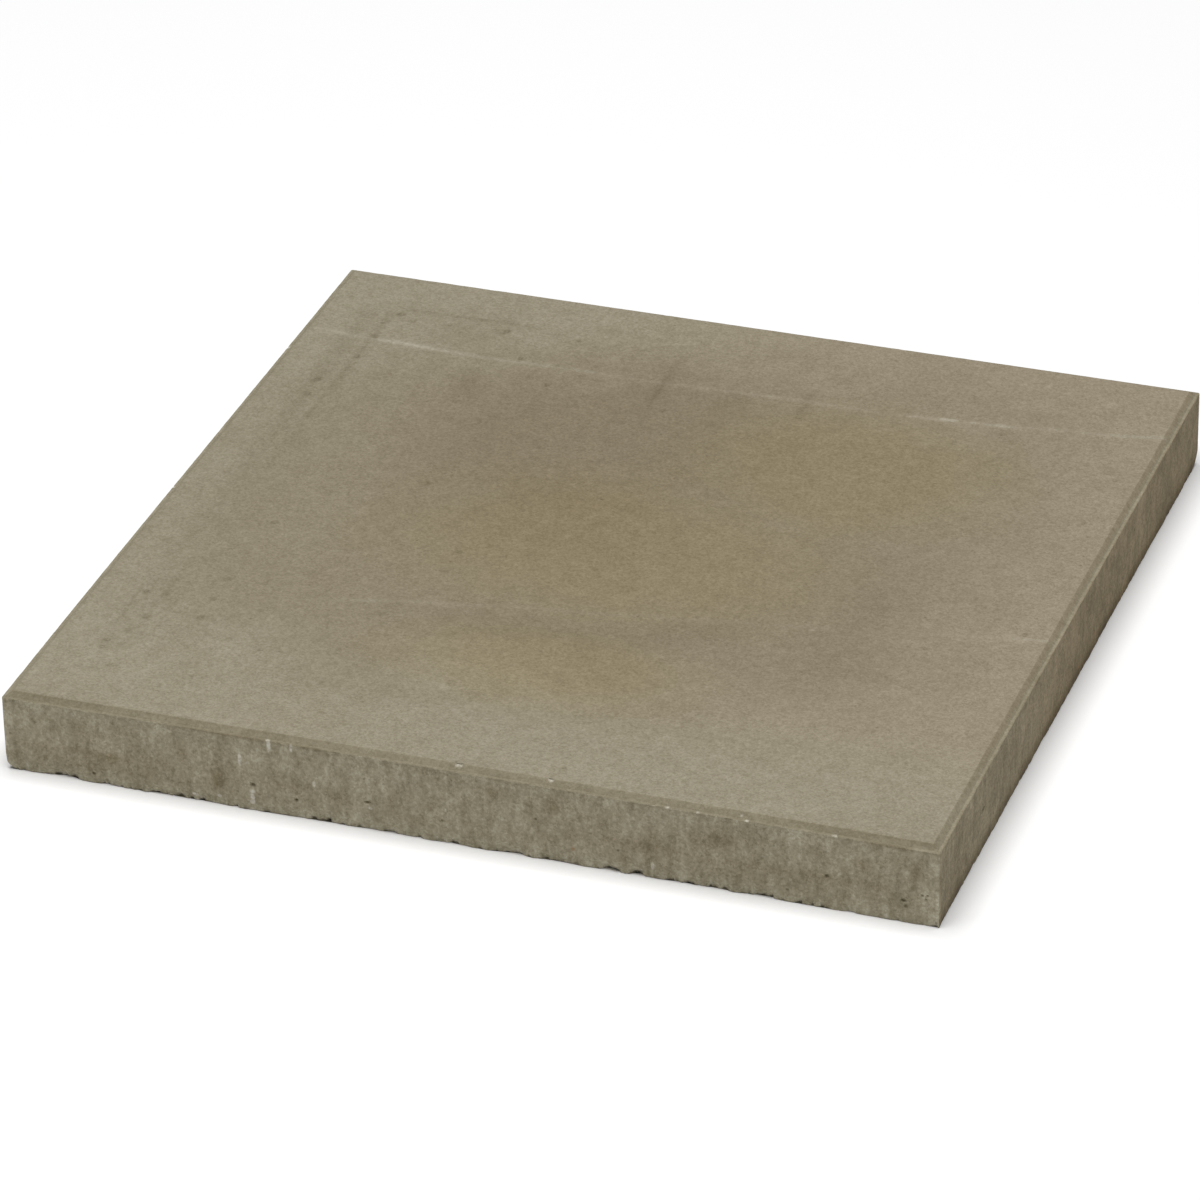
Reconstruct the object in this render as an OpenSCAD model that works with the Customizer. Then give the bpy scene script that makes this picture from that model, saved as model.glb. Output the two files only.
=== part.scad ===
// Square paving slab of pressed concrete, one solid piece.
// It lies face up with the centre of its underside at the origin: +X right, +Y to the back, +Z up.

/* [Slab] */
// Width from the left side to the right side
slab_w = 400; // [200:1:600]
// Length from the front side to the back side
slab_l = 400; // [200:1:600]
// Thickness from the underside to the top face
slab_h = 37; // [25:0.5:80]
// Plan radius of the four upright corners
corner_r = 0.9; // [0.5:0.1:6]

/* [Top edge] */
// Width in plan of the slope that runs round the top face
chamfer_w = 2.3; // [0.5:0.1:6]
// Drop of that slope below the top face
chamfer_h = 1.9; // [0.5:0.1:6]
// Width of the level shoulder between the slope and the side
shoulder_w = 1.3; // [0.4:0.1:4]

/* [Worn lower corners] */
// Radius of the wear on the front left lower corner
front_left_wear_r = 5; // [1:0.5:12]
// Radius of the wear on the back right lower corner
back_right_wear_r = 9; // [1:0.5:12]

/* [Hidden] */
$fn = 64;

// Height of the shoulder, where the upright sides end
shoulder_z = slab_h - chamfer_h;
// Places of the upright corners' centre lines
corner_x = slab_w / 2 - corner_r;
corner_y = slab_l / 2 - corner_r;
// How far a cutting shape runs past what it cuts
cut_over = 1;
concrete_grey = [0.56, 0.53, 0.45];

// The slab before its top edge is formed, with its upright corners rounded
module plain_block()
    linear_extrude(slab_h)
        union() {
            square([slab_w, 2 * corner_y], center = true);
            square([2 * corner_x, slab_l], center = true);
            for (x = [-corner_x, corner_x], y = [-corner_y, corner_y])
                translate([x, y])
                    circle(corner_r);
        }

// What the mould leaves off along the top edge of the side towards +X: all that lies
// above the slope and the shoulder; half is how far that side is from the middle
module edge_waste(half, run)
    rotate([90, 0, 0])
        linear_extrude(run + 2 * cut_over, center = true)
            polygon([
                [half - shoulder_w - chamfer_w, slab_h],
                [half - shoulder_w, shoulder_z],
                [half + cut_over, shoulder_z],
                [half + cut_over, slab_h + cut_over],
                [half - shoulder_w - chamfer_w, slab_h + cut_over]
            ]);

// What is worn off a lower corner, lying along +X: r is the round that is left on the corner's diagonal
module worn_corner(r) {
    reach = corner_r + r;
    difference() {
        translate([corner_r - r, -reach, -cut_over])
            cube([r + cut_over, 2 * reach, r + cut_over]);
        translate([corner_r - r, 0, r])
            rotate([90, 0, 0])
                cylinder(r = r, h = 2 * reach + cut_over, center = true);
    }
}

module slab()
    color(concrete_grey)
        difference() {
            plain_block();
            for (turn = [0, 180]) {
                rotate(turn)
                    edge_waste(slab_w / 2, slab_l);
                rotate(turn + 90)
                    edge_waste(slab_l / 2, slab_w);
            }
            translate([-corner_x, -corner_y])
                rotate(225)
                    worn_corner(front_left_wear_r);
            translate([corner_x, corner_y])
                rotate(45)
                    worn_corner(back_right_wear_r);
        }

slab();
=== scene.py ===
import math

import bmesh
import bpy
from mathutils import Matrix, Vector, kdtree, noise


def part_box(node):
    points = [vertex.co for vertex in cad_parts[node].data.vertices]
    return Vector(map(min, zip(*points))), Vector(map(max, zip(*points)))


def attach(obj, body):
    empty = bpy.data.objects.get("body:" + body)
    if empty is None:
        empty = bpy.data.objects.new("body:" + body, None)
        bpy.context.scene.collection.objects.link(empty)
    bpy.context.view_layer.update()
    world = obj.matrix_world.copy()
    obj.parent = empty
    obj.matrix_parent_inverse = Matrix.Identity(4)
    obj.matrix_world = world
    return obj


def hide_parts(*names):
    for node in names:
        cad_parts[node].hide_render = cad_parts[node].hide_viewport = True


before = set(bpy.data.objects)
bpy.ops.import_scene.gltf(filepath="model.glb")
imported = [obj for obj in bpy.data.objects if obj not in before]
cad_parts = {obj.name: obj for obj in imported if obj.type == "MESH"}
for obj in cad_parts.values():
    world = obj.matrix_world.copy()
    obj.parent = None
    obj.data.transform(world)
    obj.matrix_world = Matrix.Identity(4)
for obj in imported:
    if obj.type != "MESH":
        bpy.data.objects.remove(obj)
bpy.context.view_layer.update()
slabLow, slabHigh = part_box("slab")
slabSize = slabHigh - slabLow
print("frame loaded, slab", [round(side, 4) for side in slabSize])

mm = 0.001  # marks and relief are thought out in millimetres

# regions of the slab, which are the material slots of its one mesh
topRegion, bandRegion, sideRegion, underRegion = range(4)


# small helpers
def smoothStep(low, high, value):
    share = min(1.0, max(0.0, (value - low) / (high - low)))
    return share * share * (3.0 - 2.0 * share)


def wobble(x, y, z, size, octaves=3):
    # soft noise of about -1 to 1, with lumps of the given size in mm
    return noise.fractal(Vector((x, y, z)) / size, 0.8, 2.0, octaves)


def nearLine(points, x, y):
    # distance to a line of (x, y, strength) points, and its strength there
    nearest, strength = math.inf, 0.0
    for (startX, startY, startStrength), (endX, endY, endStrength) in zip(points, points[1:]):
        runX, runY = endX - startX, endY - startY
        share = ((x - startX) * runX + (y - startY) * runY) / (runX * runX + runY * runY)
        share = min(1.0, max(0.0, share))
        away = math.hypot(x - startX - share * runX, y - startY - share * runY)
        if away < nearest:
            nearest, strength = away, startStrength + (endStrength - startStrength) * share
    return nearest, strength


# the slab's form, in metres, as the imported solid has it
slabForm = {
    "cornerRadius": 0.0009,
    "chamferWidth": 0.0023,
    "chamferDrop": 0.0019,
    "shoulderWidth": 0.0013,
    "cornerSegments": 4,
    "arrisRound": 0.0003,  # softened edges
    "arrisSegments": 2,
    "slopeSteps": ((0.00105, 0.0008675), (0.00105, 0.0008675), (0.0002, 0.000125), (0.0003, 0.00004)),
    "topCells": 146,
    "underCells": 64,
    "sideRows": 22,
    "lipDrop": 0.0009,  # one more row of points, just under the outer arris
    "snap": 1e-6,
    "sliceSnap": 5e-5,
    "softBorder": 0.0004,  # the slope's upper border is rounded over this much
    "cellMatch": 0.02,  # how nearly an edge has to be one cell long
}
shoulderZ = slabSize.z - slabForm["chamferDrop"]
cornerX, cornerY = (side / 2 - slabForm["cornerRadius"] for side in slabSize.xy)
footX, footY = (side / 2 - slabForm["shoulderWidth"] for side in slabSize.xy)


def edgesOf(faces):
    # each edge once, and always in the same order
    return list(dict.fromkeys(edge for face in faces for edge in face.edges))


def sliceFaces(bm, region, axis, stops):
    # cuts the faces of one region by a row of planes across an axis
    normal = Vector((0.0, 0.0, 0.0))
    normal[axis] = 1.0
    for stop in stops:
        faces = [face for face in bm.faces if face.material_index == region]
        verts = list(dict.fromkeys(vert for face in faces for vert in face.verts))
        bmesh.ops.bisect_plane(
            bm,
            geom=verts + edgesOf(faces) + faces,
            dist=slabForm["sliceSnap"],
            plane_co=normal * stop,
            plane_no=normal,
        )


def evenStops(reach, cells):
    return [reach * (2.0 * step / cells - 1.0) for step in range(cells + 1)]


def bevelEdges(bm, edges, offset, segments):
    bmesh.ops.bevel(
        bm, geom=edges, offset=offset, segments=segments, profile=0.5, affect="EDGES", material=-1
    )


def edgesAlong(bm, axis, shortest):
    return [edge for edge in bm.edges if abs(edge.verts[0].co[axis] - edge.verts[1].co[axis]) > shortest]


def levelLoop(bm, z, region):
    # the level edges that border a region
    found = []
    for edge in bm.edges:
        level = all(abs(vert.co.z - z) < slabForm["snap"] for vert in edge.verts)
        inside = [face.material_index == region for face in edge.link_faces]
        if level and any(inside) and not all(inside):
            found.append(edge)
    return found


def onFoot(vert):
    # whether a point lies on the line where the slope meets the level shoulder
    away = max(abs(vert.co.x) - footX, abs(vert.co.y) - footY)
    return max(abs(away), abs(vert.co.z - shoulderZ)) < slabForm["snap"]


def topFaceOf(bm):
    return next(face for face in bm.faces if face.material_index == topRegion)


def insetTop(bm, run, climb):
    # takes the top face in and up, and leaves a strip of the edge band round it
    made = bmesh.ops.inset_region(bm, faces=[topFaceOf(bm)], thickness=run, depth=climb, use_even_offset=True)
    for face in made["faces"]:
        face.material_index = bandRegion


def shapeSlab():
    bm = bmesh.new()
    bmesh.ops.create_cube(bm, size=1.0)
    bmesh.ops.scale(bm, vec=(slabSize.x, slabSize.y, shoulderZ), verts=bm.verts)
    bmesh.ops.translate(bm, vec=(0.0, 0.0, shoulderZ / 2), verts=bm.verts)
    for face in bm.faces:
        face.material_index = sideRegion
    bevelEdges(bm, edgesAlong(bm, 2, shoulderZ / 2), slabForm["cornerRadius"], slabForm["cornerSegments"])
    byHeight = sorted(bm.faces, key=lambda face: face.calc_center_median().z)
    byHeight[0].material_index = underRegion
    byHeight[-1].material_index = topRegion

    # the shoulder follows the round corners outside, and is square inside
    insetTop(bm, slabForm["shoulderWidth"], 0.0)
    for signX in (-1, 1):
        for signY in (-1, 1):
            arc = [
                vert for vert in topFaceOf(bm).verts
                if min(vert.co.x * signX - cornerX, vert.co.y * signY - cornerY) > -slabForm["cornerRadius"]
            ]
            bmesh.ops.pointmerge(bm, verts=arc, merge_co=(signX * footX, signY * footY, shoulderZ))
    for run, climb in slabForm["slopeSteps"]:
        insetTop(bm, run, climb)
    for z, region in ((shoulderZ, sideRegion), (0.0, underRegion)):
        bevelEdges(bm, levelLoop(bm, z, region), slabForm["arrisRound"], slabForm["arrisSegments"])

    # cut into cells that the relief can move, finer on the sides
    upright = edgesAlong(bm, 2, shoulderZ / 2)
    bmesh.ops.subdivide_edges(bm, edges=upright, cuts=slabForm["sideRows"] - 1)
    longEdges = edgesAlong(bm, 0, cornerX) + edgesAlong(bm, 1, cornerY)
    bmesh.ops.subdivide_edges(bm, edges=longEdges, cuts=slabForm["topCells"] - 1, use_grid_fill=True)
    cell = 2 * cornerX / slabForm["topCells"]
    walls = [face for face in bm.faces if face.material_index in (sideRegion, bandRegion)]
    spare = cell * slabForm["cellMatch"]
    cellEdges = [edge for edge in edgesOf(walls) if abs(edge.calc_length() - cell) < spare]
    bmesh.ops.subdivide_edges(bm, edges=cellEdges, cuts=1)
    sliceFaces(bm, sideRegion, 2, (shoulderZ - slabForm["lipDrop"],))
    sliceFaces(bm, underRegion, 0, evenStops(cornerX, slabForm["underCells"]))
    sliceFaces(bm, underRegion, 1, evenStops(cornerY, slabForm["underCells"]))
    return bm


bm = shapeSlab()
print("slab form", len(bm.verts), "points", len(bm.faces), "faces")

# the slab in mm, as its marks and its relief are placed
sideNames = ("front", "right", "back", "left")
markLayers = ("stain", "ochre", "shade", "worn", "lime", "soot", "rust", "earth")
halfX, halfY, fullZ = (side / mm for side in (slabSize.x / 2, slabSize.y / 2, slabSize.z))
turnX, turnY, shoulder = (value / mm for value in (cornerX, cornerY, shoulderZ))
radius, shoulderIn = slabForm["cornerRadius"] / mm, slabForm["shoulderWidth"] / mm
bandIn = shoulderIn + (slabForm["chamferWidth"] + slabForm["softBorder"]) / mm


def edgeDepth(x, y):
    # distance in from the slab's upright outline
    outX, outY = abs(x) - turnX, abs(y) - turnY
    if outX > 0.0 and outY > 0.0:
        return radius - math.hypot(outX, outY)
    return radius - max(outX, outY)


def sideOf(x, y):
    # the nearest side, and the place along it
    if halfX - abs(x) < halfY - abs(y):
        return ("right", y) if x > 0 else ("left", -y)
    return ("back", -x) if y > 0 else ("front", x)


def placeOn(side, along, up, inset=0.0):
    return Vector({
        "front": (along, inset - halfY, up),
        "right": (halfX - inset, along, up),
        "back": (-along, halfY - inset, up),
        "left": (inset - halfX, -along, up),
    }[side])


def inwards(x, y):
    outX, outY = abs(x) - turnX, abs(y) - turnY
    if outX > 0.0 and outY > 0.0:
        way = Vector((outX, outY, 0.0)).normalized()
    elif outX > outY:
        way = Vector((1.0, 0.0, 0.0))
    else:
        way = Vector((0.0, 1.0, 0.0))
    return Vector((-math.copysign(way.x, x), -math.copysign(way.y, y), 0.0))


def ellipseAway(ellipse, x, y):
    # distance from the middle of an ellipse, which is 1 at its rim
    centreX, centreY, wide, deep = ellipse
    return math.hypot((x - centreX) / wide, (y - centreY) / deep)


# where each flat pattern is cut from the noise, so that no two are alike
noiseCut = {
    "waves": 0.0,
    "spots": 3.0,
    "drift": 5.0,
    "fineDrift": 9.0,
    "rubbing": 17.0,
    "creases": 21.0,
    "strokes": 33.0,
    "seam": 50.0,
    "roughness": 70.0,
    "hollows": 90.0,
    "dents": 95.0,
    "waver": 130.0,
}


def pattern(name, x, y, size, octaves=3):
    return wobble(x, y, noiseCut[name], size, octaves)


# marks of the top face in mm: lines are (x, y, strength), spots are (x, y, radius, depth)
topMarks = {
    "creases": (  # pale lines where the sheet in the mould was folded
        (
            (-196, 137.8, 0.1), (-187, 137.5, 0.3), (-176, 136.2, 0.18), (-166, 135.6, 0.2),
            (-156, 135.8, 0.42), (-143, 135.5, 0.41), (-132, 134.9, 0.28), (-122, 133.6, 0.23),
            (-108, 133.6, 0.17), (-90, 134, 0.2), (-75, 134.4, 0.11), (-62, 134.8, 0.2),
            (-50, 134.4, 0.1), (-35, 134.5, 0.1), (-22, 134.6, 0.15), (-5, 135.4, 0.12),
            (8, 136.3, 0.15), (20, 136.9, 0.19), (38, 137, 0.14), (55, 136.9, 0.11),
            (75, 136.9, 0.07), (83, 137.5, 0.06), (87, 137.9, 0.28), (97, 138.7, 0.28),
            (103, 139.2, 0.58), (109, 139.9, 0.14), (120, 140.6, 0.22), (128, 140.8, 0.36),
            (136, 142, 0.08), (148, 144.2, 0.2), (158, 145.4, 0.08), (170, 146.4, 0.15),
            (182, 148, 0.27), (192, 150.4, 0.26), (196.3, 151.6, 0.2),
        ),
        (
            (-122, -95.5, 0.03), (-100, -89, 0.06), (-82, -84.5, 0.18), (-70, -81, 0.08), (-60, -79.5, 0.17),
            (-45, -76.5, 0.08), (-25, -72, 0.08), (30, -63, 0.04), (110, -49, 0.04), (180, -35, 0.08),
            (185, -33.6, 0.2), (196, -32.3, 0.2),
        ),
    ),
    "creaseHalf": 1.5,
    "creaseReach": 2.5,  # in half widths
    "creaseRise": 0.1,
    "creaseSteep": 2.0,  # half of the full strength already has the full rise
    "creaseBead": 5.0,
    "creaseGaps": 0.5,
    "specks": ((143, -162, 1.3, 0.5), (101, -52.6, 1.2, 0.4)),  # pale spots, with their strength last
    "speckBorder": (0.3, 1.1),  # borders run from full to none, in radii
    "strokes": (  # dark dashes, with their half width first
        (1.4, ((-166.5, 155, 0.8), (-166.3, 150, 0.8))),
        (1.5, ((-166, 139.5, 1.0), (-166, 135.5, 1.0))),
        (1.3, ((-166, 127.5, 0.5), (-166, 116, 0.6))),
        (1.1, ((-166, 110, 0.45), (-166.3, 88, 0.5))),
        (1.1, ((-166.5, 80, 0.5), (-166.5, 57, 0.6))),
        (1.2, ((-158, 167.5, 0.5), (-130, 167.8, 0.6), (-100, 168.2, 0.3))),
        (1.2, ((-166.5, -68, 0.3), (-166.5, -95, 0.5), (-167, -122, 0.4))),
        (1.0, ((-159.5, -85, 0.3), (-159.5, -135, 0.4))),
        (1.1, ((-178, -98, 0.3), (-177, -132, 0.4))),
        (1.0, ((-27, 141, 0.4), (-27, 116, 0.5))),
        (1.0, ((38.7, 144, 0.2), (38.7, 127, 0.3))),
    ),
    "strokeReach": 3.0,  # in half widths
    "strokeDip": 0.1,
    "strokeDark": 0.5,
    "strokeBead": 3.2,
    "strokeGaps": (-0.6, 0.4),
    "smears": (  # faint broad dark stretches, with their half width first
        (2.6, ((-27, 160, 0.3), (-27, 140, 0.7), (-27, 118, 0.7), (-26.5, 101, 0.1))),
        (4.5, ((7, 148, 0.2), (7, 128, 0.35), (7, 105, 0.1))),
        (2.4, ((38.7, 147, 0.3), (38.7, 138, 0.5), (39, 118, 0.3))),
        (4.5, ((-175.5, 162, 0.5), (-175.5, 100, 0.7), (-175, 60, 0.5), (-174, -60, 0.3), (-174, -150, 0.4))),
        (2.6, ((-166, 160, 0.5), (-166, 104, 0.5), (-167, 50, 0.4), (-167, -60, 0.2), (-167, -150, 0.35))),
        (3.5, ((-160, 167, 0.4), (-110, 168, 0.4), (-80, 166, 0.2))),
        (12.0, ((-75, -88, 0.25), (-30, -86, 0.4), (20, -88, 0.4), (58, -68, 0.45), (75, -62, 0.1))),
        (14.0, ((120, -22, 0.35), (119, -50, 0.2), (122, -80, 0.35))),
        (6.0, ((-110, 116, 0.4), (-106, 98, 0.3))),
    ),
    "pits": (
        (-161.6, 161.7, 1.7, 0.3), (-153.9, 156.9, 1.5, 0.18), (-136.6, 158.8, 1.4, 0.13),
        (-110.2, 160.5, 1.7, 0.3), (-76.3, 161.3, 1.2, 0.16), (-95.3, 137.6, 1.0, 0.5),
        (-75.8, 117.9, 1.3, 0.25), (-19.1, 110, 1.1, 0.1), (-95.2, 17.3, 1.3, 0.2),
        (-174.9, 92.7, 1.7, 0.22), (-174.3, 79, 1.3, 0.13), (-145.3, -34.4, 1.5, 0.15),
        (-61, -35, 1.2, 0.24), (-60.8, -52.3, 1.2, 0.15), (-146.1, -85.7, 1.7, 0.15),
        (-129.6, -84.7, 1.5, 0.1), (-146, -103, 1.5, 0.17), (-145, -119.1, 1.7, 0.22),
        (-174.6, -105.5, 1.6, 0.24), (-166, -105.2, 1.5, 0.1), (-167.2, -125, 1.7, 0.18),
        (-170, -137.2, 1.3, 0.18), (-175.2, -147.2, 1.5, 0.18), (-174.8, -153, 1.3, 0.17),
        (-165.5, -166, 1.4, 0.13), (-27.4, -138, 1.0, 0.15), (-111.2, -136, 1.3, 0.12),
        (-77.5, -153.5, 1.0, 0.1), (128.6, 134, 1.2, 0.2), (186.2, 108, 1.2, 0.16),
        (183.5, 68.3, 1.2, 0.2), (185.7, -30, 1.3, 0.25), (187.9, -114.6, 1.3, 0.13),
        (149, -53, 1.4, 0.12), (39.6, -187, 1.0, 0.18), (-165.3, 138, 1.7, 0.25),
        (-165.6, 118, 1.6, 0.2), (-164.6, 153.5, 1.3, 0.15), (-166.1, 127.5, 1.0, 0.1),
    ),
    "pitReach": 2.0,  # in radii
    "pitWall": (0.2, 1.0),
    "pitStain": (0.45, 1.1),
    "pitStainWide": 1.5,
    "pitDark": (0.2, 1.2),  # of every pit, and more for each mm of its depth
    "stainBroad": (-25, 10, 199, 217, 184),  # x, y, half sizes to the left, right and deep
    "broadPower": 3,  # 2 is an ellipse, more is squarer
    "broadBorder": (0.58, 1.08),
    "stainRise": 0.12,  # its back border climbs to the right
    "stainRiseOver": (0.0, 100.0),
    "stainLeft": (-171, -162),  # its left border follows the dashes
    "stainLeftKeep": 0.69,  # what is left of it beyond that border
    "stainSquare": (-116, 165, -86, 153),  # left, right, front and back border
    "squareSoft": (7, 30, 11),  # of its left border, its right one and the other two
    "stainCore": (-41, 67, 100, 106),  # x, y, half sizes
    "coreBorder": (0.2, 1.2),
    "stainShares": (0.55, 0.1, 0.38),  # of the broad stain, the square one and the core
    "ochre": ((72, 82, 84, 66), (-4, -14, 110, 72), (4, -112, 76, 38)),
    "ochreBorder": (0.4, 1.2),
    "drift": 0.12,  # how far the borders of the stains wander
    "driftSize": 55.0,
    "fineDrift": 0.06,
    "fineDriftSize": 14.0,
    "earthAcross": (-150.0, 90.0),
    "earthDeep": (-185.0, -100.0),
    "earthDrift": 60.0,
    "sink": 0.05,  # the face lies this much below its highest creases
    "waviness": 0.06,
    "waveSize": 60.0,
    "waveSink": 0.6,
}


def stainAt(x, y, drift):
    # the brown stain: a broad one, a squarish one in it, and a darker core
    cfg = topMarks
    centreX, centreY, left, right, deep = cfg["stainBroad"]
    wide = left if x < centreX else right
    level = y - cfg["stainRise"] * x * smoothStep(*cfg["stainRiseOver"], y)
    offX, offY = abs(x - centreX) / wide, abs(level - centreY) / deep
    power = cfg["broadPower"]
    away = (offX ** power + offY ** power) ** (1 / power)
    broad = 1.0 - smoothStep(*cfg["broadBorder"], away + drift)
    broad *= cfg["stainLeftKeep"] + (1.0 - cfg["stainLeftKeep"]) * smoothStep(*cfg["stainLeft"], x)
    left, right, front, back = cfg["stainSquare"]
    softLeft, softRight, softDeep = cfg["squareSoft"]
    across = smoothStep(left - softLeft, left + softLeft, x)
    across *= 1.0 - smoothStep(right - softRight, right + softRight, x)
    along = smoothStep(front - softDeep, front + softDeep, y)
    along *= 1.0 - smoothStep(back - softDeep, back + softDeep, level)
    core = 1.0 - smoothStep(*cfg["coreBorder"], ellipseAway(cfg["stainCore"], x, y) + drift)
    broadShare, squareShare, coreShare = cfg["stainShares"]
    return broadShare * broad + squareShare * across * along + coreShare * core


def paintTop(x, y):
    # how strongly each mark colours a place on the top face, and how far it lifts it
    cfg = topMarks
    amounts = dict.fromkeys(markLayers, 0.0)
    rise = cfg["waviness"] * (pattern("waves", x, y, cfg["waveSize"]) - cfg["waveSink"])
    drift = cfg["drift"] * pattern("drift", x, y, cfg["driftSize"])
    drift += cfg["fineDrift"] * pattern("fineDrift", x, y, cfg["fineDriftSize"])
    amounts["stain"] = stainAt(x, y, drift)
    for ellipse in cfg["ochre"]:
        away = ellipseAway(ellipse, x, y) + drift
        amounts["ochre"] = max(amounts["ochre"], 1.0 - smoothStep(*cfg["ochreBorder"], away))
    for points in cfg["creases"]:
        away, strength = nearLine(points, x, y)
        if away < cfg["creaseReach"] * cfg["creaseHalf"]:
            core = math.exp(-((away / cfg["creaseHalf"]) ** 2))
            bead = max(0.0, 1.0 + cfg["creaseGaps"] * pattern("creases", x, y, cfg["creaseBead"]))
            amounts["lime"] = max(amounts["lime"], core * strength * bead)
            rise += cfg["creaseRise"] * core * min(1.0, cfg["creaseSteep"] * strength)
    for speckX, speckY, spread, strength in cfg["specks"]:
        away = math.hypot(x - speckX, y - speckY) / spread
        amounts["lime"] = max(amounts["lime"], strength * (1.0 - smoothStep(*cfg["speckBorder"], away)))
    for half, points in cfg["strokes"]:
        away, strength = nearLine(points, x, y)
        if away < cfg["strokeReach"] * half:
            bead = smoothStep(*cfg["strokeGaps"], pattern("strokes", x, y, cfg["strokeBead"], 2))
            core = math.exp(-((away / half) ** 2)) * strength * bead
            amounts["soot"] = max(amounts["soot"], cfg["strokeDark"] * core)
            rise -= cfg["strokeDip"] * core
    for half, points in cfg["smears"]:
        away, strength = nearLine(points, x, y)
        amounts["shade"] = max(amounts["shade"], math.exp(-((away / half) ** 2)) * strength)
    earth = smoothStep(*cfg["earthAcross"], x + cfg["earthDrift"] * drift)
    amounts["earth"] = earth * smoothStep(*cfg["earthDeep"], y)
    dark, darkByDepth = cfg["pitDark"]
    for pitX, pitY, spread, depth in cfg["pits"]:
        away = math.hypot(x - pitX, y - pitY) / spread
        if away < cfg["pitReach"]:
            rise -= depth * (1.0 - smoothStep(*cfg["pitWall"], away))
            paint = 1.0 - smoothStep(*cfg["pitStain"], away / cfg["pitStainWide"])
            amounts["soot"] = max(amounts["soot"], paint * (dark + darkByDepth * depth))
    return amounts, rise


# marks of the sides in mm: place along the side, height, half width, half height, depth
sideMarks = {
    "front": {
        "soot": (
            (-90.5, 12.5, 1.3, 1.1, 0.9), (-71.6, 8.7, 1.0, 0.9, 0.7), (-40.7, 13.3, 1.9, 0.7, 0.5),
            (66, 10.7, 0.9, 0.8, 0.5), (153.4, 15.5, 1.1, 0.9, 0.6), (185, 10.3, 1.3, 1.0, 0.7),
            (186, 7.7, 0.8, 1.1, 0.5), (192.7, 13.9, 0.8, 0.8, 0.5), (194.3, 12.3, 0.7, 0.8, 0.4),
            (195, 14.2, 0.6, 0.6, 0.4), (-161, 4.7, 1.0, 0.8, 0.5), (31.5, 19, 0.7, 0.7, 0.3),
            (137, 6, 0.9, 0.8, 0.4), (-8.7, 10.7, 0.7, 0.8, 0.3),
        ),
        "lime": (
            (-82.7, 32.6, 1.1, 3.3, -0.1), (-73, 33.2, 0.9, 2.3, -0.1), (-95.7, 24.2, 1.0, 3.8, -0.1),
            (-90.7, 9.6, 1.6, 1.3, -0.2), (-91, 4.2, 1.6, 1.6, -0.2), (-90.8, 6.8, 1.3, 2.2, -0.1),
            (-116.7, 3.2, 1.2, 0.9, 0.0), (-105.5, 4.2, 1.3, 0.9, 0.0), (-39.5, 10.7, 1.2, 0.8, 0.0),
            (80.7, 6.2, 0.9, 2.0, -0.1), (-63.6, 17.6, 0.8, 1.8, 0.0), (-7, 16, 0.5, 1.0, 0.0),
        ),
        "rust": ((47, 7.5, 1.0, 1.1, 0.2),),
    },
    "right": {
        "soot": ((-138, 19.2, 1.9, 0.9, 0.5), (92, 24, 1.2, 0.8, 0.3)),
        "rust": ((5, 4.7, 1.6, 1.2, 0.0), (30, 7.2, 1.8, 1.0, 0.0), (-180, 12, 1.2, 1.0, 0.0)),
    },
    "back": {
        "soot": (
            (-120, 12, 1.3, 1.0, 0.7), (-34, 20, 1.0, 0.9, 0.5), (48, 8.5, 1.2, 0.9, 0.6),
            (131, 17, 1.1, 0.9, 0.6), (170, 26, 0.8, 0.8, 0.4), (-78, 6, 0.9, 0.8, 0.4),
        ),
        "lime": (
            (-86, 32.5, 0.7, 2.6, -0.1), (22, 7, 1.0, 1.8, -0.2), (101, 22, 0.7, 2.6, -0.1),
            (-142, 5, 0.8, 0.6, 0.0), (64, 27, 0.5, 1.3, 0.0),
        ),
        "rust": ((-150, 6.5, 1.1, 1.1, 0.1),),
    },
    "left": {
        "soot": (
            (-142, 15, 1.2, 0.9, 0.6), (-58, 9, 1.2, 0.9, 0.7), (25, 23, 0.9, 0.8, 0.4),
            (118, 12, 1.3, 0.8, 0.6), (164, 7, 0.9, 0.8, 0.4),
        ),
        "lime": (
            (-97, 32, 0.7, 2.6, -0.1), (67, 6, 1.0, 1.7, -0.2), (156, 25, 0.7, 2.4, -0.1),
            (-24, 4.5, 0.8, 0.6, 0.0),
        ),
        "rust": ((-12, 6, 1.2, 1.1, 0.1),),
    },
}
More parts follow.
